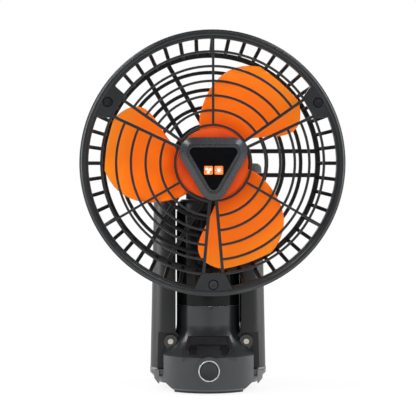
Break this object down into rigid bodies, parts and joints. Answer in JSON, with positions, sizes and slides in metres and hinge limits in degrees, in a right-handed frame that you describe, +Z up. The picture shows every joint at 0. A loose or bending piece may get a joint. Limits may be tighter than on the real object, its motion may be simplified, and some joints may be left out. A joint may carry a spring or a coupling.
{
  "type": "portable camping fan",
  "caption": "Upright battery fan: round caged orange impeller on a swivelling, sliding, tilting column over a control base with half-round legs that fold up beside it.",
  "frame": {"origin": "on the floor, on the axis of the upright column, at the centre of the base mat", "axes": "+X right seen from the front, -Y towards the front of the fan, +Z up"},
  "size_m": [0.2001, 0.1226, 0.2775],
  "materials": {
    "charcoal_shell": "fine satin moulded texture",
    "black_cage": "satin moulded plastic",
    "orange_blade": "smooth bright orange moulding",
    "column_paint": "gloss dark grey tube",
    "mast_metal": "satin anodised tube",
    "soft_rubber": "matt soft rubber",
    "grey_tab": "pale grey moulding",
    "bright_ring": "polished trim",
    "key_cap": "satin key",
    "steel_part": "machined",
    "black_screw": "black oxide",
    "gloss_panel": "piano black",
    "orange_tile": "printed orange function tile",
    "board_green": "circuit board",
    "cell_wrap": "wrapped pouch cell",
    "inner_black": "plain moulding",
    "slide_nylon": "natural acetal",
    "copper_core": "wound copper and laminated core"
  },
  "bodies": {
    "base": {"base_housing": "charcoal_shell", "bottom_plate": "inner_black", "base_mat": "soft_rubber", "plate_screws": "steel_part", "latch_tabs": "grey_tab", "power_ring": "bright_ring", "control_board": "board_green", "battery_cells": "cell_wrap", "battery_tray": "inner_black", "charging_socket": "steel_part", "button_board": "board_green", "leg_pins": "steel_part", "swivel_washer": "slide_nylon", "index_pin": "steel_part"},
    "power_button": {"power_button": "key_cap"},
    "deck_button_left": {"deck_button_left": "key_cap"},
    "deck_button_right": {"deck_button_right": "key_cap"},
    "port_cover": {"port_cover": "charcoal_shell"},
    "leg_left": {"leg_left": "charcoal_shell", "leg_tip_left": "soft_rubber"},
    "leg_right": {"leg_right": "charcoal_shell", "leg_tip_right": "soft_rubber"},
    "leg_rear": {"leg_rear": "charcoal_shell", "leg_tip_rear": "soft_rubber"},
    "column": {"column_tube": "column_paint", "retaining_ring": "steel_part", "guide_bush": "slide_nylon"},
    "mast": {"mast_tube": "mast_metal", "mast_stop_ring": "slide_nylon", "neck_yoke": "charcoal_shell", "tilt_bolt": "steel_part", "tilt_knobs": "inner_black"},
    "head": {"motor_housing": "black_cage", "tilt_bush": "slide_nylon", "rear_grille": "black_cage", "front_grille": "charcoal_shell", "grille_screws": "black_screw", "hub_frame": "charcoal_shell", "hub_panel": "gloss_panel", "hub_tiles": "orange_tile", "motor_stator": "copper_core", "motor_board": "board_green", "bearing_front": "steel_part", "bearing_rear": "steel_part", "housing_screws": "steel_part"},
    "rotor": {"motor_bell": "steel_part", "motor_shaft": "steel_part", "impeller": "orange_blade", "rotor_nut": "steel_part"}
  },
  "joints": [
    {"name": "swivel", "type": "hinge", "parent": "base", "child": "column", "pos_m": [0, 0, 0.066], "axis": [0, 0, 1], "range_deg": [-15, 10]},
    {"name": "mast_slide", "type": "slide", "parent": "column", "child": "mast", "axis": [0, 0, 1], "range_m": [0, 0.054]},
    {"name": "tilt", "type": "hinge", "parent": "mast", "child": "head", "pos_m": [0.00035, -0.00799, 0.1775], "axis": [-0.999, -0.0436, 0], "range_deg": [0, 90]},
    {"name": "rotor_spin", "type": "hinge", "parent": "head", "child": "rotor", "pos_m": [0.00209, -0.04795, 0.1775], "axis": [0.0436, -0.999, 0], "continuous": true},
    {"name": "leg_left_fold", "type": "hinge", "parent": "base", "child": "leg_left", "pos_m": [-0.0296, 0, 0.0384], "axis": [0, -1, 0], "range_deg": [0, 100]},
    {"name": "leg_right_fold", "type": "hinge", "parent": "base", "child": "leg_right", "pos_m": [0.0296, 0, 0.0384], "axis": [0, 1, 0], "range_deg": [0, 100]},
    {"name": "leg_rear_fold", "type": "hinge", "parent": "base", "child": "leg_rear", "pos_m": [0, 0.0376, 0.0384], "axis": [-1, 0, 0], "range_deg": [0, 100]},
    {"name": "power_press", "type": "slide", "parent": "base", "child": "power_button", "axis": [0, 1, 0], "range_m": [0, 0.001], "stiffness_N_per_m": 500},
    {"name": "deck_left_press", "type": "slide", "parent": "base", "child": "deck_button_left", "axis": [0, 0.7071, -0.7071], "range_m": [0, 0.0008], "stiffness_N_per_m": 500},
    {"name": "deck_right_press", "type": "slide", "parent": "base", "child": "deck_button_right", "axis": [0, 0.7071, -0.7071], "range_m": [0, 0.0008], "stiffness_N_per_m": 500},
    {"name": "port_cover_hinge", "type": "hinge", "parent": "base", "child": "port_cover", "pos_m": [0, -0.02715, 0.04243], "axis": [-1, 0, 0], "range_deg": [0, 95]}
  ]
}
